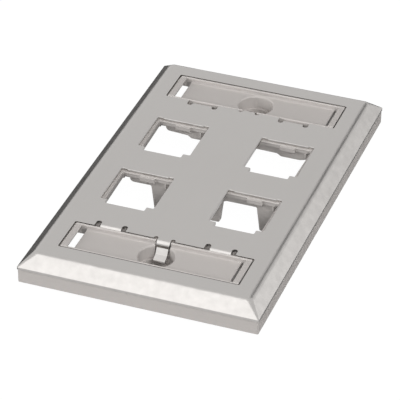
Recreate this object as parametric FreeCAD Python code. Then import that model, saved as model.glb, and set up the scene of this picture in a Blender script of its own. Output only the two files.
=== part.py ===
import FreeCAD, Part
import math
import os

# Single-gang wall faceplate for four keystone jacks: a folded steel cover over a moulded base.
# Lengths are in millimetres. The origin is the middle of the plane where the plate meets the wall.
# +Z points out into the room, +Y up the wall and +X to the right.

# Whole plate
plate_length = 114.3
plate_width = 69.85
plate_height = 8.4
screw_spacing = 83.34

# Folded steel sheet
steel_thickness = 0.75
bevel_run = 3.6
bevel_drop = 3.5
fold_radius = 2.4
edge_height = 0.7
cover_corner_radius = 0.4
front_corner_radius = 2.0

# Port openings in the steel
column_pitch = 32.4
row_pitch = 29.3
rows_centre_y = 0.45
port_width = 15.9
port_low = 8.0
port_high = 8.15
release_width = 11.7
release_length = 1.9
ear_width = 1.4
ear_length = 0.3
port_corner_radius = 0.35
ear_slant = 0.35
ear_corner_radius = 0.35
port_edge_radius = 0.2

# Label windows in the steel
window_length = 52.65
window_width = 12.9
window_centre_y = 41.95
window_corner_radius = 0.5

# Snap hooks on the window's inner edge
hook_width = 6.1
lower_hook_x = 16.1
upper_hook_x = 14.2
hook_bend_radius = 1.6
hook_reach = -0.05
hook_lip = 1.9
hook_foot_radius = 0.9
relief_width = 1.6
relief_length = 2.5

# Earthing tab on the window's inner edge
tab_width = 3.8
tab_neck_width = 3.4
tab_bend_radius = 1.7
tab_reach = 1.4
tab_curl_drop = 1.95
tab_heel_reach = 2.2
tab_heel_depth = 3.7
tab_pad_reach = 4.15
tab_pad_depth = 4.65
tab_fold_radius = 0.55
tab_tip_radius = 0.5
tab_relief_width = 1.25
tab_relief_length = 0.95
sheet_overlap = 1.2

# Moulded base
skirt_inset = 0.15
skirt_gap = 0.15
skirt_wall = 1.5
skirt_corner_radius = 0.5
skirt_foot_radius = 0.2
face_thickness = 2.0
bevel_clearance = 0.05
hollow_taper = 2.4
hollow_taper_height = 2.0

# Jack seats
seat_side_lap = 0.6
seat_far_lap = 0.6
seat_side_relief = 1.35
seat_lip_round = 0.2
seat_lip_thickness = 1.25
seat_slant = 0.4
block_width = 4.6
block_length = 0.7
block_height = 1.4
block_drop = 0.2
block_offset_x = 0.2
rib_width = 0.55
rib_height = 1.35
rib_offset_x = 5.5
rib_set_back = 0.1
web_set_back = 0.8
web_thickness = 1.5
web_height = 1.25
web_sag = 0.4
tongue_height = 2.45
tongue_width = 5.9
tongue_shoulder = 1.2
leg_height = 9.0
left_notch_end_x = -15.2
right_notch_x = 6.5
right_notch_end_x = 16.7
notch_flare = 0.95
web_end_x = 21.75
web_far_end_x = 24.0
catch_wall_gap = 0.4
catch_wall_height = 3.6
web_round = 1.6
web_end_round = 1.2
leg_round = 0.5

# Label holders
holder_end_gap = 0.4
holder_side_gap = 0.15
holder_upper_gap = 0.15
holder_lower_gap = 0.35
holder_drop = 0.1
holder_corner_radius = 0.4
holder_rim = 0.75
holder_end_rim = 1.9
holder_rim_round = 0.25
pocket_depth = 1.4
pocket_floor = 1.7
pocket_fillet = 0.5
left_slot_width = 1.5
right_slot_width = 1.2
label_slot_catch = 1.4
label_rim_thickness = 0.3

# Screw recesses
cup_radius = 5.1
cup_mouth = 0.5
cup_depth = 5.45
cup_wall = 1.2
head_radius = 4.4
head_depth = 1.25
screw_hole_radius = 2.1
tab_side_clearance = 0.35
tab_back_clearance = 0.45
tab_channel_step = 2.4
tab_low_channel = 0.45
hook_back_clearance = 0.1
relief_clearance = 0.1

# Worked out from the values above
cut_margin = 5.0
tolerance = 1e-5
front_z = plate_height
sheet_back_z = front_z - steel_thickness
face_back_z = sheet_back_z - face_thickness
bevel_foot_z = front_z - bevel_drop
edge_foot_z = bevel_foot_z - edge_height
window_edge_y = window_centre_y - window_width / 2
screw_y = screw_spacing / 2
column_x = (-column_pitch / 2, column_pitch / 2)
row_y = (rows_centre_y - row_pitch / 2, rows_centre_y + row_pitch / 2)
ends = (-1, 1)
sides = (-1, 1)


def vector(x, y, z):
    return FreeCAD.Vector(x, y, z)


def box(x0, x1, y0, y1, z0, z1):
    low = vector(min(x0, x1), min(y0, y1), min(z0, z1))
    return Part.makeBox(abs(x1 - x0), abs(y1 - y0), abs(z1 - z0), low)


def cylinder(radius, x, y, z0, z1):
    return Part.makeCylinder(radius, z1 - z0, vector(x, y, z0))


def lies_at(lowest, highest, level):
    return abs(lowest - level) + abs(highest - level) < tolerance


def united(shapes):
    whole = shapes[0].multiFuse(shapes[1:]) if len(shapes) > 1 else shapes[0]
    return whole.removeSplitter()


def rounded_corner(before, corner, after, radius):
    """Start, middle and end of the arc that rounds one corner of a flat outline."""
    inwards = (before - corner).normalize()
    onwards = (after - corner).normalize()
    half_angle = inwards.getAngle(onwards) / 2
    reach = radius / math.tan(half_angle)
    centre = corner + (inwards + onwards).normalize() * (radius / math.sin(half_angle))
    middle = centre + (corner - centre).normalize() * radius
    return corner + inwards * reach, middle, corner + onwards * reach


def outline_face(points, radii, place):
    """Face inside a closed outline whose corners are rounded; place turns (a, b) into a point in space."""
    flat = [vector(a, b, 0) for a, b in points]
    count = len(flat)
    corners = []
    for i, corner in enumerate(flat):
        if radii[i] > 0:
            corners.append(rounded_corner(flat[i - 1], corner, flat[(i + 1) % count], radii[i]))
        else:
            corners.append((corner, None, corner))
    edges = []
    for i, (start, middle, end) in enumerate(corners):
        if middle is not None:
            arc = Part.Arc(place(start.x, start.y), place(middle.x, middle.y), place(end.x, end.y))
            edges.append(arc.toShape())
        following = corners[(i + 1) % count][0]
        if (following - end).Length > tolerance:
            edges.append(Part.makeLine(place(end.x, end.y), place(following.x, following.y)))
    return Part.Face(Part.Wire(edges))


def plan_prism(points, radii, z0, z1):
    """Upright prism over an outline given in X and Y."""
    face = outline_face(points, radii, lambda x, y: vector(x, y, z0))
    return face.extrude(vector(0, 0, z1 - z0))


def rectangle_points(x0, x1, y0, y1):
    return [(x0, y0), (x1, y0), (x1, y1), (x0, y1)]


def rounded_block(half_x, half_y, radius, z0, z1, centre_y=0.0):
    points = rectangle_points(-half_x, half_x, centre_y - half_y, centre_y + half_y)
    return plan_prism(points, [radius] * 4, z0, z1)


def frustum(low_half, low_radius, z0, high_half, high_radius, z1):
    """Solid between two rounded rectangles, given as (half X, half Y) at two heights."""
    wires = []
    for (half_x, half_y), radius, z in ((low_half, low_radius, z0), (high_half, high_radius, z1)):
        points = rectangle_points(-half_x, half_x, -half_y, half_y)
        face = outline_face(points, [radius] * 4, lambda x, y, level=z: vector(x, y, level))
        wires.append(face.OuterWire)
    return Part.makeLoft(wires, True, True)


def strip_outline(path, bend_radii, thickness):
    """Outline of a folded strip seen from its edge: its centre line, given thickness on both sides."""
    points = [vector(a, b, 0) for a, b in path]
    left, right = [], []
    last = len(points) - 1
    for i, point in enumerate(points):
        before = (points[max(i, 1)] - points[max(i, 1) - 1]).normalize()
        after = (points[min(i, last - 1) + 1] - points[min(i, last - 1)]).normalize()
        normal = (vector(-before.y, before.x, 0) + vector(-after.y, after.x, 0)).normalize()
        offset = normal * (thickness / 2 / normal.dot(vector(-before.y, before.x, 0)))
        turn = before.x * after.y - before.y * after.x
        bend = bend_radii[i]
        left_radius, right_radius = 0.0, 0.0
        if bend > 0:
            left_radius = bend - math.copysign(thickness / 2, turn)
            right_radius = bend + math.copysign(thickness / 2, turn)
        left.append((point + offset, left_radius))
        right.append((point - offset, right_radius))
    around = left + right[::-1]
    return [(p.x, p.y) for p, _ in around], [radius for _, radius in around]


def window_strip(path, bend_radii, width, centre_x, end):
    """Strip of the sheet folded down at a window's inner edge: path runs (into window, above front)."""
    points, radii = strip_outline(path, bend_radii, steel_thickness)
    edge_y = end * window_edge_y
    x0 = centre_x - width / 2
    face = outline_face(points, radii, lambda s, z: vector(x0, edge_y + end * s, front_z + z))
    return face.extrude(vector(width, 0, 0))


def window_box(centre_x, width, into0, into1, z0, z1, end):
    """Box placed by how far it reaches into a window from the window's inner edge."""
    edge_y = end * window_edge_y
    half = width / 2
    return box(centre_x - half, centre_x + half, edge_y + end * into0, edge_y + end * into1, z0, z1)


def hook_centres(end):
    hook_x = upper_hook_x if end > 0 else lower_hook_x
    return (-hook_x, hook_x)


# The sheet's inner skin lies one thickness inside the bevel, measured square to it

bevel_length = math.hypot(bevel_run, bevel_drop)
sheet_foot_inset = steel_thickness * bevel_length / bevel_drop
sheet_front_inset = bevel_run + steel_thickness * (bevel_length - bevel_run) / bevel_drop


def half_sizes(inset):
    return (plate_width / 2 - inset, plate_length / 2 - inset)


def port_opening(x, y, z0, z1):
    """Stepped opening in the steel: a square with a release gap below it and an ear at each upper corner."""
    half = port_width / 2
    low, high = y - port_low, y + port_high
    gap_half = release_width / 2
    ear_x = half - ear_width
    points = [
        (x - gap_half, low - release_length), (x + gap_half, low - release_length),
        (x + gap_half, low), (x + half, low),
        (x + half, high + ear_length), (x + ear_x, high + ear_length),
        (x + ear_x - ear_slant, high), (x - ear_x + ear_slant, high),
        (x - ear_x, high + ear_length), (x - half, high + ear_length),
        (x - half, low), (x - gap_half, low),
    ]
    corner, ear = port_corner_radius, ear_corner_radius
    radii = [corner, corner, corner, corner, corner, ear, ear, ear, ear, corner, corner, corner]
    return plan_prism(points, radii, z0, z1)


def window_opening(end):
    z0, z1 = sheet_back_z - cut_margin, front_z + cut_margin
    half_x, half_y = window_length / 2, window_width / 2
    return rounded_block(half_x, half_y, window_corner_radius, z0, z1, end * window_centre_y)


def relief_notch(centre_x, width, length, end):
    """Slot with a round end, cut into the sheet beside a fold."""
    z0, z1 = sheet_back_z - cut_margin, front_z + cut_margin
    radius = width / 2
    straight = window_box(centre_x, width, -(length - radius), radius, z0, z1, end)
    centre_y = end * (window_edge_y - length + radius)
    return straight.fuse(cylinder(radius, centre_x, centre_y, z0, z1))


def tab_path():
    middle = -steel_thickness / 2
    curl = tab_reach - steel_thickness / 2
    path = [(-sheet_overlap, middle), (curl, middle), (curl, -tab_curl_drop),
            (tab_heel_reach, -tab_heel_depth), (tab_pad_reach, -tab_pad_depth)]
    radii = [0.0, tab_bend_radius - steel_thickness / 2, tab_fold_radius, tab_fold_radius, 0.0]
    return path, radii


def earthing_tab(end):
    path, radii = tab_path()
    shank = window_strip(path, radii, tab_neck_width, 0.0, end)
    half = tab_neck_width / 2
    edge_y = end * window_edge_y
    root_y = edge_y - end * 2 * sheet_overlap
    tip_y = edge_y + end * (tab_pad_reach + steel_thickness)
    low_y, high_y = min(root_y, tip_y), max(root_y, tip_y)
    plan = plan_prism(rectangle_points(-half, half, low_y, high_y), [tab_tip_radius] * 4, 0.0, front_z)
    curl = window_strip(path[:3], radii[:2] + [0.0], tab_width, 0.0, end)
    return shank.common(plan).fuse(curl)


def snap_hook(centre_x, end):
    middle = -steel_thickness / 2
    shank = hook_reach - steel_thickness / 2
    foot_z = face_back_z - front_z - relief_clearance - steel_thickness / 2
    root = -sheet_overlap - hook_bend_radius
    path = [(root, middle), (shank, middle), (shank, foot_z), (-hook_lip, foot_z)]
    radii = [0.0, hook_bend_radius - steel_thickness / 2, hook_foot_radius - steel_thickness / 2, 0.0]
    return window_strip(path, radii, hook_width, centre_x, end)


def folded_sheet():
    """Sheet with bevelled sides that end in an upright edge, before anything is cut in it."""
    outer = frustum(half_sizes(0.0), cover_corner_radius, bevel_foot_z,
                    half_sizes(bevel_run), front_corner_radius, front_z)
    front_edges = [e for e in outer.Edges if lies_at(e.BoundBox.ZMin, e.BoundBox.ZMax, front_z)]
    outer = outer.makeFillet(fold_radius, front_edges)
    inner = frustum(half_sizes(sheet_foot_inset), cover_corner_radius / 2, bevel_foot_z,
                    half_sizes(sheet_front_inset), front_corner_radius / 2, sheet_back_z)
    edge = rounded_block(*half_sizes(0.0), cover_corner_radius, edge_foot_z, bevel_foot_z)
    inside = rounded_block(*half_sizes(steel_thickness), cover_corner_radius / 2, edge_foot_z, bevel_foot_z)
    return united([outer.cut(inner), edge.cut(inside)])


def port_edges(shape):
    """Front edges of the port openings, which are rolled over a little."""
    found = []
    for edge in shape.Edges:
        bounds = edge.BoundBox
        at_front = lies_at(bounds.ZMin, bounds.ZMax, front_z)
        if at_front and abs(bounds.Center.x) < column_pitch and abs(bounds.Center.y) < row_pitch:
            if bounds.YLength < row_pitch and bounds.XLength < column_pitch:
                found.append(edge)
    return found


def pierced_sheet():
    z0, z1 = sheet_back_z - cut_margin, front_z + cut_margin
    sheet = folded_sheet().cut([port_opening(x, y, z0, z1) for x in column_x for y in row_y])
    return sheet.makeFillet(port_edge_radius, port_edges(sheet))


def window_cuts():
    z0, z1 = sheet_back_z - cut_margin, front_z + cut_margin
    clear = window_width / 2
    cuts = []
    for end in ends:
        cuts.append(window_opening(end))
        for hook_x in hook_centres(end):
            bend_start = hook_reach - hook_bend_radius
            cuts.append(window_box(hook_x, hook_width + relief_width, bend_start, clear, z0, z1, end))
            for side in sides:
                notch_x = hook_x + side * (hook_width + relief_width) / 2
                cuts.append(relief_notch(notch_x, relief_width, relief_length, end))
        cuts.append(window_box(0.0, tab_width, tab_reach - tab_bend_radius, clear, z0, z1, end))
        for side in sides:
            notch_x = side * (tab_width + tab_relief_width) / 2
            cuts.append(relief_notch(notch_x, tab_relief_width, tab_relief_length, end))
    return cuts


def steel_cover():
    sheet = pierced_sheet().cut(window_cuts())
    folds = [earthing_tab(end) for end in ends]
    folds += [snap_hook(x, end) for end in ends for x in hook_centres(end)]
    return united([sheet] + folds)


def tray():
    """Skirt and face of the base, hollow from behind."""
    skirt_top_z = edge_foot_z - skirt_gap
    half_x, half_y = half_sizes(skirt_inset)
    skirt = rounded_block(half_x, half_y, skirt_corner_radius, 0.0, skirt_top_z)
    foot_edges = [e for e in skirt.Edges if lies_at(e.BoundBox.ZMin, e.BoundBox.ZMax, 0.0)]
    skirt = skirt.makeFillet(skirt_foot_radius, foot_edges)
    foot = half_sizes(sheet_foot_inset + bevel_clearance)
    neck = rounded_block(foot[0], foot[1], cover_corner_radius / 2, skirt_top_z / 2, bevel_foot_z)
    crown = frustum(foot, cover_corner_radius / 2, bevel_foot_z,
                    half_sizes(sheet_front_inset + bevel_clearance), front_corner_radius / 2, sheet_back_z)
    inset = skirt_inset + skirt_wall
    inner_radius = cover_corner_radius / 2
    knee_z = face_back_z - hollow_taper_height
    low = rounded_block(*half_sizes(inset), inner_radius, -cut_margin, knee_z)
    high = frustum(half_sizes(inset), inner_radius, knee_z,
                   half_sizes(inset + hollow_taper), inner_radius, face_back_z)
    return united([skirt, neck, crown]).cut([low, high])


def seat_opening(x, y):
    """Opening through the base's face behind one port."""
    z0, z1 = face_back_z - cut_margin, front_z
    outer_side = math.copysign(1.0, x)
    half = port_width / 2
    outer_x = x + outer_side * (half - seat_side_lap)
    inner_x = x - outer_side * (half + seat_side_relief)
    low, high = y - port_low - release_length, y + port_high - seat_far_lap
    low_outer_x = outer_x - outer_side * seat_slant
    points = [(inner_x, low), (low_outer_x, low), (outer_x, high), (inner_x, high)]
    return plan_prism(points, [port_corner_radius] * 4, z0, z1)


def lip_undercut(x, y):
    """Space under a seat's far lip, back to the wall behind it."""
    outer_side = math.copysign(1.0, x)
    half = port_width / 2
    outer_x = x + outer_side * (half - seat_side_lap - seat_slant)
    inner_x = x - outer_side * (half + seat_side_relief)
    lip_y = y + port_high - seat_far_lap
    top_z = sheet_back_z - seat_lip_thickness
    return box(inner_x, outer_x, lip_y - seat_far_lap, lip_y + web_set_back, face_back_z - cut_margin, top_z)


def seat_blocks(x, y):
    """Latch block and small rib on the seat's far wall."""
    lip_y = y + port_high - seat_far_lap
    back_y = lip_y + web_set_back
    block_x = x + block_offset_x
    top_z = sheet_back_z - block_drop
    block = box(block_x - block_width / 2, block_x + block_width / 2, lip_y - block_length,
                back_y, top_z - block_height, top_z)
    long_edges = [e for e in block.Edges if e.BoundBox.YMax < back_y - tolerance]
    block = block.makeFillet(seat_lip_round, long_edges)
    rib_x = x + rib_offset_x
    rib = box(rib_x - rib_width / 2, rib_x + rib_width / 2, lip_y + rib_set_back,
              back_y + web_thickness / 2, face_back_z - rib_height, face_back_z + face_thickness / 2)
    return [block, rib]


def hanging_wall(outline, radii, y):
    """Wall below the base's face; its outline runs (x, below the face)."""
    face = outline_face(outline, radii, lambda x, down: vector(x, y, face_back_z - down))
    return face.extrude(vector(0, web_thickness, 0))


def upper_web():
    """Wall above the upper row, deeper behind the latch blocks."""
    root = -face_thickness / 2
    left, right = column_x
    tongue0 = right + block_offset_x - block_width / 2
    tongue1 = tongue0 + tongue_width
    left_tongue0 = left + block_offset_x + block_width / 2
    left_tongue1 = left + port_width / 2
    sag_height = web_height + web_sag
    outline = [
        (-web_end_x, root), (web_far_end_x, root), (web_far_end_x, web_height),
        (tongue1, tongue_height), (tongue0, tongue_height), (tongue0 - tongue_shoulder, sag_height),
        (left_tongue1 + tongue_shoulder, web_height), (left_tongue1, tongue_height),
        (left_tongue0, tongue_height), (left_tongue0 - tongue_shoulder, sag_height),
        (-web_end_x, web_height),
    ]
    right_radii = [0.0, leg_round, leg_round, leg_round]
    radii = [0.0, 0.0] + right_radii + [0.0, 0.0, leg_round, leg_round, web_end_round]
    y = row_y[1] + port_high - seat_far_lap + web_set_back
    return hanging_wall(outline, radii, y)


def middle_web():
    """Wall between the rows, with long legs either side of a notch behind each lower port."""
    root = -face_thickness / 2
    outline = [
        (-web_end_x, root), (web_far_end_x, root), (web_far_end_x, leg_height),
        (right_notch_end_x + notch_flare, leg_height), (right_notch_end_x, web_height),
        (right_notch_x, web_height), (right_notch_x - notch_flare, leg_height),
        (left_notch_end_x + notch_flare, leg_height), (left_notch_end_x, web_height),
        (-web_end_x, web_height),
    ]
    notch_radii = [leg_round, leg_round, web_round, leg_round, leg_round, leg_round]
    radii = [0.0, 0.0, leg_round] + notch_radii + [web_end_round]
    y = row_y[0] + port_high - seat_far_lap + web_set_back
    return hanging_wall(outline, radii, y)


def catch_wall(y):
    """Wall below a row, which the jacks' fixed feet bear on."""
    root = -face_thickness / 2
    outline = rectangle_points(-web_end_x, web_end_x, root, catch_wall_height)
    near_y = y - port_low - release_length - catch_wall_gap - web_thickness
    return hanging_wall(outline, [0.0, 0.0, leg_round, leg_round], near_y)


def holder_span(end):
    """Outer sides of a label holder across the plate, nearest the middle first."""
    inner = window_centre_y - window_width / 2 + holder_side_gap
    outer_gap = holder_upper_gap if end > 0 else holder_lower_gap
    outer = window_centre_y + window_width / 2 - outer_gap
    return end * inner, end * outer


def pocket_span(end):
    inner, outer = holder_span(end)
    return inner + end * holder_rim, outer - end * holder_rim


def label_pocket(end):
    """Space inside a label holder's rims, rounded along the label floor."""
    half_x = window_length / 2 - holder_end_gap - holder_end_rim
    inner, outer = pocket_span(end)
    floor_z, open_z = front_z - pocket_depth, front_z + cut_margin
    points = [(inner, floor_z), (outer, floor_z), (outer, open_z), (inner, open_z)]
    face = outline_face(points, [pocket_fillet, pocket_fillet, 0.0, 0.0], lambda y, z: vector(-half_x, y, z))
    return face.extrude(vector(2 * half_x, 0, 0))


def label_holder(end):
    """Raised frame that stands flush in a label window, with the label floor inside it."""
    half_x = window_length / 2 - holder_end_gap
    inner, outer = holder_span(end)
    low_z = front_z - pocket_depth - pocket_floor
    top_z = front_z - holder_drop
    half_y = abs(outer - inner) / 2
    block = rounded_block(half_x, half_y, holder_corner_radius, low_z, top_z, (inner + outer) / 2)
    holder = block.cut(label_pocket(end))
    rim_edges = [e for e in holder.Edges if lies_at(e.BoundBox.ZMin, e.BoundBox.ZMax, top_z)]
    return holder.makeFillet(holder_rim_round, rim_edges)


def label_slots(end):
    """Slot at each end of a holder, undercut below the end rim so that a label cover can catch in it."""
    half_x = window_length / 2 - holder_end_gap
    y0, y1 = pocket_span(end)
    rim_x = half_x - holder_end_rim
    low_z = face_back_z - cut_margin
    rim_under_z = front_z - holder_drop - label_rim_thickness
    cuts = []
    catch_x = rim_x + label_slot_catch
    for side in sides:
        slot_x = rim_x - (right_slot_width if side > 0 else left_slot_width)
        cuts.append(box(side * slot_x, side * rim_x, y0, y1, low_z, front_z))
        cuts.append(box(side * slot_x, side * catch_x, y0, y1, low_z, rim_under_z))
    return cuts


def screw_boss(end):
    radius = cup_radius + cup_wall
    return cylinder(radius, 0.0, end * screw_y, 0.0, face_back_z + face_thickness / 2)


def screw_recess(end):
    """Cup with a rounded mouth, a seat for the screw's head and a clearance hole, cut away as one shape."""
    y = end * screw_y
    floor_z = front_z - pocket_depth
    cup_z = front_z - cup_depth
    mouth_z = floor_z - cup_mouth
    mouth_radius = cup_radius + cup_mouth
    inner, outer = pocket_span(end)
    between_rims = box(-plate_width, plate_width, inner, outer, 0.0, front_z)
    rounding = Part.makeTorus(mouth_radius, cup_mouth, vector(0, y, mouth_z))
    mouth = cylinder(mouth_radius, 0.0, y, mouth_z, floor_z + pocket_fillet).cut(rounding)
    pieces = [
        mouth.common(between_rims),
        cylinder(cup_radius, 0.0, y, cup_z, floor_z),
        cylinder(head_radius, 0.0, y, cup_z - head_depth, floor_z),
        cylinder(screw_hole_radius, 0.0, y, -cut_margin, floor_z),
    ]
    return united(pieces)


def tab_channel(end):
    """Way through the holder's rim for the earthing tab, narrower behind it lower down in the recess."""
    width = tab_width + 2 * tab_side_clearance
    low_z, step_z, high_z = front_z - cup_depth, front_z - tab_channel_step, front_z + cut_margin
    reach = tab_pad_reach
    return [window_box(0.0, width, -tab_back_clearance, reach, step_z, high_z, end),
            window_box(0.0, width, tab_low_channel, reach, low_z, step_z, end)]


def hook_slots(end):
    """Slots in the base's face that the snap hooks and the sheet's relief notches open into."""
    z0, z1 = face_back_z - cut_margin, front_z + cut_margin
    cuts = []
    inner = hook_bend_radius - hook_reach + hook_back_clearance
    for hook_x in hook_centres(end):
        cuts.append(window_box(hook_x, hook_width + relief_width, -inner, holder_side_gap, z0, z1, end))
        for side in sides:
            notch_x = hook_x + side * (hook_width + relief_width) / 2
            width = relief_width + 2 * relief_clearance
            reach = relief_length + relief_clearance
            cuts.append(window_box(notch_x, width, -reach, holder_side_gap, z0, z1, end))
    return cuts


def lip_edges(shape):
    """Front edges of the seats' far lips, which show as a rounded line."""
    found = []
    for edge in shape.Edges:
        bounds = edge.BoundBox
        for y in row_y:
            lip_y = y + port_high - seat_far_lap
            on_lip = lies_at(bounds.YMin, bounds.YMax, lip_y)
            at_front = lies_at(bounds.ZMin, bounds.ZMax, sheet_back_z)
            if on_lip and at_front and bounds.XLength > ear_width:
                found.append(edge)
    return found


def plastic_base():
    spaces = [seat_opening(x, y) for x in column_x for y in row_y]
    spaces += [lip_undercut(x, y) for x in column_x for y in row_y]
    spaces += [label_pocket(end) for end in ends]
    face = tray().cut(spaces)
    face = face.makeFillet(seat_lip_round, lip_edges(face))
    additions = [upper_web(), middle_web()] + [catch_wall(y) for y in row_y]
    for x in column_x:
        for y in row_y:
            additions += seat_blocks(x, y)
    for end in ends:
        additions += [label_holder(end), screw_boss(end)]
    body = united([face] + additions)
    cuts = []
    for end in ends:
        cuts += label_slots(end) + hook_slots(end) + tab_channel(end) + [screw_recess(end)]
    return body.cut(cuts).removeSplitter()


def write_parts():
    os.makedirs("parts", exist_ok=True)
    for name, shape in (("steel_cover", steel_cover()), ("plastic_base", plastic_base())):
        print(name, "solids", len(shape.Solids), "valid", shape.isValid(), "volume", round(shape.Volume, 1))
        solid = shape.Solids[0] if len(shape.Solids) == 1 else shape
        solid.exportStep("parts/" + name + ".step")


write_parts()
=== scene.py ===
import math
import bpy
from mathutils import Matrix, Vector

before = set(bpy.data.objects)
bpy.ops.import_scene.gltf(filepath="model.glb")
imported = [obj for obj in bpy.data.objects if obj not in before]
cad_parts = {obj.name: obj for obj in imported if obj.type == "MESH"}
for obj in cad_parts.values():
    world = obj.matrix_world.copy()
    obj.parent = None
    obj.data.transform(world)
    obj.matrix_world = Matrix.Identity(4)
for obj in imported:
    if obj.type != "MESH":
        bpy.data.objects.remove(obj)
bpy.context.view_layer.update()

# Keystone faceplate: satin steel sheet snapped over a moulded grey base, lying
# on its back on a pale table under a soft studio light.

scene = bpy.context.scene

# colours as the photograph shows them, in linear light
STEEL_COLOUR = (0.52, 0.502, 0.486, 1.0)
PLASTIC_COLOUR = (0.497, 0.468, 0.449, 1.0)

# Places on the plate, in metres. From its middle: the label windows' centre lines, the near
# and far sides of the pockets' slots, and the start of the gaps past the holders' right ends.
# From a window's centre line: the start of its long rims and of its outer gap.
WINDOW_CENTRE_Y = 0.04195
SLOT_START = 0.0224
SLOT_END = 0.0242
END_GAP_START = 0.0258
RIM_START = 0.0053
GAP_START = 0.0059

# the legs behind the ports stand on the table, which reaches far past the picture
LEG_FOOT = -0.00345
TABLE_REACH = 3.0
CARD_LIFT = 0.0002
CARD_DISTANCE = 1.2

# the table's own grey, and how bright the table and the walls are for the camera, for
# mirrored rays and for the rest
TABLE_COLOUR = (0.45, 0.45, 0.45, 1.0)
TABLE_GLOW = 1.11
MIRRORED_GLOW = 0.7
TABLE_UNDERGLOW = 0.05
SHADOW_SHARE = 0.12
GLOSSY_WALL = 0.9
DIFFUSE_WALL = 0.06


# ---------------------------------------------------------------- node helpers

def new_material(name):
    """An empty material with its output node."""
    material = bpy.data.materials.new(name)
    material.use_nodes = True
    tree = material.node_tree
    tree.nodes.clear()
    output = tree.nodes.new("ShaderNodeOutputMaterial")
    return material, tree, output


def noise(tree, vector, scale, detail, roughness=0.5):
    """A noise texture's factor, read at the given vector."""
    node = tree.nodes.new("ShaderNodeTexNoise")
    node.inputs["Scale"].default_value = scale
    node.inputs["Detail"].default_value = detail
    node.inputs["Roughness"].default_value = roughness
    tree.links.new(vector, node.inputs["Vector"])
    return node.outputs["Fac"]


def stretched(tree, vector, scale):
    """The vector scaled along each axis."""
    node = tree.nodes.new("ShaderNodeMapping")
    node.inputs["Scale"].default_value = scale
    tree.links.new(vector, node.inputs["Vector"])
    return node.outputs["Vector"]


def spread(tree, value, low, high, from_low=0.3, from_high=0.7):
    """A noise factor mapped to a range."""
    node = tree.nodes.new("ShaderNodeMapRange")
    node.inputs["From Min"].default_value = from_low
    node.inputs["From Max"].default_value = from_high
    node.inputs["To Min"].default_value = low
    node.inputs["To Max"].default_value = high
    tree.links.new(value, node.inputs["Value"])
    return node.outputs["Result"]


def maths(tree, operation, first, second=None, third=None):
    """A Math node; each operand is a number or a socket."""
    node = tree.nodes.new("ShaderNodeMath")
    node.operation = operation
    for socket, operand in zip(node.inputs, (first, second, third)):
        if isinstance(operand, bpy.types.NodeSocket):
            tree.links.new(operand, socket)
        elif operand is not None:
            socket.default_value = operand
    return node.outputs["Value"]


def scaled(tree, colour, gain):
    """A colour made lighter or darker by a factor."""
    node = tree.nodes.new("ShaderNodeVectorMath")
    node.operation = "SCALE"
    tree.links.new(colour, node.inputs[0])
    tree.links.new(gain, node.inputs["Scale"])
    return node.outputs["Vector"]


def toned(tree, colour, mask, factor):
    """The colour times a factor where the mask is 1, and as it is where it is 0."""
    return scaled(tree, colour, maths(tree, "MULTIPLY_ADD", mask, factor - 1.0, 1.0))


def group_tree(name, inputs, outputs):
    """An empty shader node group with the given sockets: (name, type, default)."""
    tree = bpy.data.node_groups.new(name, "ShaderNodeTree")
    for label, kind, default in inputs:
        socket = tree.interface.new_socket(label, in_out="INPUT", socket_type=kind)
        if default is not None:
            socket.default_value = default
    for label, kind in outputs:
        tree.interface.new_socket(label, in_out="OUTPUT", socket_type=kind)
    return tree, tree.nodes.new("NodeGroupInput"), tree.nodes.new("NodeGroupOutput")


def place_group(tree, group, **values):
    """The group placed in a material with its own values."""
    node = tree.nodes.new("ShaderNodeGroup")
    node.node_tree = group
    for label, value in values.items():
        node.inputs[label.replace("_", " ")].default_value = value
    return node


# ------------------------------------------------------------- shared effects

def cloudy_tone():
    """Colour that drifts a little over the surface, lighter and darker."""
    tree, given, out = group_tree(
        "cloudy tone",
        [("Colour", "NodeSocketColor", (0.5, 0.5, 0.5, 1.0)),
         ("Cloud scale", "NodeSocketFloat", 30.0),
         ("Strength", "NodeSocketFloat", 0.03)],
        [("Colour", "NodeSocketColor")])
    place = tree.nodes.new("ShaderNodeTexCoord")
    cloud = tree.nodes.new("ShaderNodeTexNoise")
    cloud.inputs["Detail"].default_value = 3.0
    tree.links.new(place.outputs["Object"], cloud.inputs["Vector"])
    tree.links.new(given.outputs["Cloud scale"], cloud.inputs["Scale"])
    centred = maths(tree, "SUBTRACT", cloud.outputs["Fac"], 0.5)
    gain = maths(tree, "MULTIPLY_ADD", centred, given.outputs["Strength"], 1.0)
    tree.links.new(scaled(tree, given.outputs["Colour"], gain), out.inputs["Colour"])
    return tree


def height_band():
    """Mask that is 1 between two heights over the wall plane and fades out beyond them."""
    tree, given, out = group_tree(
        "height band",
        [("Low", "NodeSocketFloat", 0.0),
         ("High", "NodeSocketFloat", 0.001),
         ("Fade", "NodeSocketFloat", 0.0001)],
        [("Mask", "NodeSocketFloat")])
    place = tree.nodes.new("ShaderNodeTexCoord")
    split = tree.nodes.new("ShaderNodeSeparateXYZ")
    tree.links.new(place.outputs["Object"], split.inputs["Vector"])
    masks = []
    for label, operation in (("Low", "SUBTRACT"), ("High", "ADD")):
        ramp = tree.nodes.new("ShaderNodeMapRange")
        ramp.interpolation_type = "SMOOTHSTEP"
        tree.links.new(split.outputs["Z"], ramp.inputs["Value"])
        faded = maths(tree, operation, given.outputs[label], given.outputs["Fade"])
        tree.links.new(faded, ramp.inputs["From Min"])
        tree.links.new(given.outputs[label], ramp.inputs["From Max"])
        masks.append(ramp.outputs["Result"])
    tree.links.new(maths(tree, "MULTIPLY", masks[0], masks[1]), out.inputs["Mask"])
    return tree


TONE = cloudy_tone()
BAND = height_band()


# ------------------------------------------------------------------ materials

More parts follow.
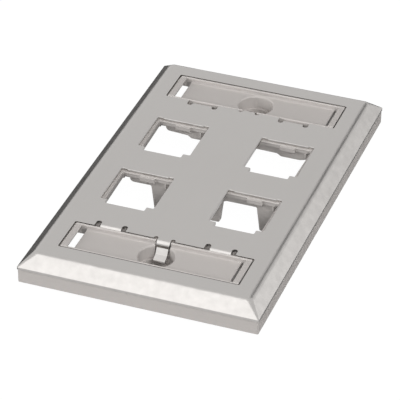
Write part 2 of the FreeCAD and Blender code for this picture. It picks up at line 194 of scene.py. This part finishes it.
def satin_steel():
    """Stainless sheet with a fine satin grain along the plate, and small marks on its folded sides."""
    material, tree, output = new_material("satin_steel")
    shader = tree.nodes.new("ShaderNodeBsdfPrincipled")
    shader.inputs["Metallic"].default_value = 1.0
    tone = place_group(tree, TONE, Colour=STEEL_COLOUR, Cloud_scale=22.0, Strength=0.05)
    bevels = place_group(tree, BAND, Low=0.0, High=0.0082, Fade=0.0002)
    marks = place_group(tree, TONE, Cloud_scale=420.0)
    tree.links.new(tone.outputs["Colour"], marks.inputs["Colour"])
    tree.links.new(maths(tree, "MULTIPLY", bevels.outputs["Mask"], 0.3), marks.inputs["Strength"])
    tree.links.new(marks.outputs["Colour"], shader.inputs["Base Color"])
    place = tree.nodes.new("ShaderNodeTexCoord").outputs["Object"]
    grain = noise(tree, stretched(tree, place, (1.0, 0.02, 1.0)), 5200.0, 2.0)
    tree.links.new(spread(tree, grain, 0.28, 0.33), shader.inputs["Roughness"])
    bump = tree.nodes.new("ShaderNodeBump")
    bump.inputs["Strength"].default_value = 0.01
    bump.inputs["Distance"].default_value = 0.00002
    tree.links.new(grain, bump.inputs["Height"])
    tree.links.new(bump.outputs["Normal"], shader.inputs["Normal"])
    tree.links.new(shader.outputs["BSDF"], output.inputs["Surface"])
    return material


def moulded_plastic():
    """Matt grey plastic with the fine texture of a sparked mould."""
    material, tree, output = new_material("moulded_plastic")
    shader = tree.nodes.new("ShaderNodeBsdfPrincipled")
    shader.inputs["Specular IOR Level"].default_value = 0.35
    place = tree.nodes.new("ShaderNodeTexCoord").outputs["Object"]
    tone = place_group(tree, TONE, Colour=PLASTIC_COLOUR, Cloud_scale=60.0, Strength=0.04)
    colour = tone.outputs["Colour"]
    split = tree.nodes.new("ShaderNodeSeparateXYZ")
    tree.links.new(place, split.inputs["Vector"])
    along = split.outputs["Y"]
    across = maths(tree, "ABSOLUTE", split.outputs["X"])
    from_middle = maths(tree, "ABSOLUTE", along)
    side = maths(tree, "ABSOLUTE", maths(tree, "SUBTRACT", from_middle, WINDOW_CENTRE_Y))

    # painted shade: the plastic is darkened in the gaps along the lower label holder's outer side and
    # past both holders' right ends
    gap_shade = place_group(tree, BAND, Low=0.0077, High=0.00826, Fade=0.00003)
    outer = maths(tree, "LESS_THAN", along, -WINDOW_CENTRE_Y - GAP_START)
    past_end = maths(tree, "GREATER_THAN", split.outputs["X"], END_GAP_START)
    gap_side = maths(tree, "MAXIMUM", outer, past_end)
    colour = toned(tree, colour, maths(tree, "MULTIPLY", gap_shade.outputs["Mask"], gap_side), 0.3)

    # painted shade: the walls of the slots in the pockets' ends are darkened
    slot = place_group(tree, BAND, Low=0.005, High=0.0069, Fade=0.00005)
    past_label = maths(tree, "GREATER_THAN", across, SLOT_START)
    before_rim = maths(tree, "LESS_THAN", across, SLOT_END)
    in_slot = maths(tree, "MULTIPLY", past_label, before_rim)
    colour = toned(tree, colour, maths(tree, "MULTIPLY", slot.outputs["Mask"], in_slot), 0.6)

    # painted highlight: the holders' long rims are made lighter
    rim_highlight = place_group(tree, BAND, Low=0.00827, High=0.0085, Fade=0.00003)
    long_rim = maths(tree, "GREATER_THAN", side, RIM_START)
    colour = toned(tree, colour, maths(tree, "MULTIPLY", rim_highlight.outputs["Mask"], long_rim), 1.2)
    # painted shade: the pockets' corners at the foot of their walls are darkened
    corner_shade = place_group(tree, BAND, Low=0.00708, High=0.0074, Fade=0.00005)
    colour = toned(tree, colour, corner_shade.outputs["Mask"], 0.84)

    tree.links.new(colour, shader.inputs["Base Color"])
    spark = noise(tree, place, 4200.0, 3.0)
    tree.links.new(spread(tree, spark, 0.5, 0.62), shader.inputs["Roughness"])
    bump = tree.nodes.new("ShaderNodeBump")
    bump.inputs["Strength"].default_value = 0.25
    bump.inputs["Distance"].default_value = 0.00003
    tree.links.new(spark, bump.inputs["Height"])
    tree.links.new(bump.outputs["Normal"], shader.inputs["Normal"])
    tree.links.new(shader.outputs["BSDF"], output.inputs["Surface"])
    return material


def dress(node, material):
    """Gives a node of the frame its material."""
    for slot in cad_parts[node].material_slots:
        slot.material = material


dress("steel_cover", satin_steel())
dress("plastic_base", moulded_plastic())


# --------------------------------------------------------------------- studio

def flat_sheet(name, corners, material):
    """One flat face that belongs to the studio."""
    mesh = bpy.data.meshes.new(name)
    mesh.from_pydata(corners, [], [(0, 1, 2, 3)])
    mesh.materials.append(material)
    sheet = bpy.data.objects.new(name, mesh)
    scene.collection.objects.link(sheet)
    return sheet


def table_material():
    """Pale table lit from below: white where it is looked at, with a share of its real shading."""
    material, tree, output = new_material("pale_table")
    matt = tree.nodes.new("ShaderNodeBsdfDiffuse")
    matt.inputs["Color"].default_value = TABLE_COLOUR
    under = tree.nodes.new("ShaderNodeEmission")
    under.inputs["Strength"].default_value = TABLE_UNDERGLOW
    real = tree.nodes.new("ShaderNodeAddShader")
    tree.links.new(matt.outputs["BSDF"], real.inputs[0])
    tree.links.new(under.outputs["Emission"], real.inputs[1])
    white = tree.nodes.new("ShaderNodeEmission")
    white.inputs["Strength"].default_value = TABLE_GLOW
    mix = tree.nodes.new("ShaderNodeMixShader")
    path = tree.nodes.new("ShaderNodeLightPath")
    mirrored = maths(tree, "MULTIPLY", path.outputs["Is Glossy Ray"], MIRRORED_GLOW)
    looked_at = maths(tree, "MAXIMUM", path.outputs["Is Camera Ray"], mirrored)
    tree.links.new(maths(tree, "MULTIPLY", looked_at, 1.0 - SHADOW_SHARE), mix.inputs["Fac"])
    tree.links.new(real.outputs["Shader"], mix.inputs[1])
    tree.links.new(white.outputs["Emission"], mix.inputs[2])
    tree.links.new(mix.outputs["Shader"], output.inputs["Surface"])
    return material


def card_material(name, grey):
    """Matt grey of a card that only reflections show."""
    material, tree, output = new_material(name)
    matt = tree.nodes.new("ShaderNodeBsdfDiffuse")
    matt.inputs["Color"].default_value = (grey, grey, grey, 1.0)
    tree.links.new(matt.outputs["BSDF"], output.inputs["Surface"])
    return material


def mirror_card(name, corners, grey):
    """Card seen in reflections and nowhere else."""
    card = flat_sheet(name, corners, card_material(name, grey))
    card.visible_camera = False
    card.visible_diffuse = False
    card.visible_shadow = False


def lying_corners(x0, x1, y0, y1, z):
    """Corners of a level rectangle."""
    return [(x0, y0, z), (x1, y0, z), (x1, y1, z), (x0, y1, z)]


def toward(azimuth, elevation):
    """Unit vector at an azimuth from +Y towards +X, and an elevation, in degrees."""
    a = math.radians(azimuth)
    e = math.radians(elevation)
    return Vector((math.sin(a) * math.cos(e), math.cos(a) * math.cos(e), math.sin(e)))


def standing_corners(distance, left, right, low, high):
    """Corners of an upright card between two azimuths and two elevations."""
    turns = ((left, low), (right, low), (right, high), (left, high))
    return [toward(azimuth, elevation) * distance for azimuth, elevation in turns]


def lying_card(name, x0, x1, y0, y1, grey):
    """Card lying on the table beside the plate."""
    mirror_card(name, lying_corners(x0, x1, y0, y1, LEG_FOOT + CARD_LIFT), grey)


flat_sheet("table", lying_corners(-TABLE_REACH, TABLE_REACH, -TABLE_REACH, TABLE_REACH, LEG_FOOT),
           table_material())

# one card stands beyond the plate, the others lie on the table left, right and beyond it
mirror_card("far_card", standing_corners(CARD_DISTANCE, 1.0, 21.0, 22.0, 54.0), 0.2)
lying_card("left_card", -0.4, -0.042, -0.07, 0.4, 0.05)
lying_card("right_card", 0.0352, 0.5, -0.057, 0.075, 0.4)
lying_card("rear_card", -0.03, 0.5, 0.076, 1.2, 0.1)


def soft_box(name, direction, distance, size, radiance):
    """A square lamp aimed at the plate, its strength given as the brightness of its face."""
    lamp = bpy.data.lights.new(name, "AREA")
    lamp.shape = "SQUARE"
    lamp.size = size
    lamp.energy = radiance * math.pi * size * size
    box = bpy.data.objects.new(name, lamp)
    box.location = direction * distance
    box.rotation_euler = (-direction).to_track_quat("-Z", "Y").to_euler()
    scene.collection.objects.link(box)
    return box


# lamps that show in reflections and light nothing matt
for lamp in (soft_box("key", Vector((-0.28, -0.53, 0.80)).normalized(), 1.6, 1.6, 0.94),
             soft_box("side", toward(59.0, 15.0), 1.4, 0.9, 0.75)):
    lamp.visible_diffuse = False

# lamps that light what is matt, the plastic and the table, and show in no reflection
for lamp in (soft_box("front", Vector((0.25, -0.78, 0.57)).normalized(), 1.4, 0.7, 4.9),
             soft_box("left", Vector((-0.8, -0.5, 0.35)).normalized(), 1.4, 0.7, 7.6),
             soft_box("right", Vector((0.64, -0.2, 0.77)).normalized(), 1.4, 0.9, 4.9)):
    lamp.visible_glossy = False


def studio_walls():
    """White behind the plate, and pale walls that light it and show in the steel."""
    world = bpy.data.worlds.new("studio")
    scene.world = world
    world.use_nodes = True
    tree = world.node_tree
    wall = tree.nodes["Background"]
    wall.inputs["Color"].default_value = (1.0, 1.0, 1.0, 1.0)
    path = tree.nodes.new("ShaderNodeLightPath")
    shown = maths(tree, "MAXIMUM", path.outputs["Is Camera Ray"], path.outputs["Is Transmission Ray"])
    glossy = maths(tree, "MULTIPLY_ADD", path.outputs["Is Glossy Ray"],
                   GLOSSY_WALL - DIFFUSE_WALL, DIFFUSE_WALL)
    tree.links.new(maths(tree, "MAXIMUM", shown, glossy), wall.inputs["Strength"])


studio_walls()


# --------------------------------------------------------------------- camera

def aim_camera():
    """The photograph's own view, from in front, to the right and above."""
    lens = bpy.data.cameras.new("camera")
    lens.sensor_width = 36.0
    lens.lens = 231.6266
    lens.clip_end = 10.0
    camera = bpy.data.objects.new("camera", lens)
    right = Vector((0.93947, 0.34258, 0.00601)).normalized()
    down = Vector((0.19567, -0.52203, -0.83018)).normalized()
    ahead = Vector((-0.28127, 0.78111, -0.55746)).normalized()
    camera.matrix_world = Matrix(((right.x, -down.x, -ahead.x, 0.2058176),
                                  (right.y, -down.y, -ahead.y, -0.5784382),
                                  (right.z, -down.z, -ahead.z, 0.4115041),
                                  (0, 0, 0, 1)))
    scene.collection.objects.link(camera)
    scene.camera = camera


aim_camera()
scene.view_settings.view_transform = "Standard"
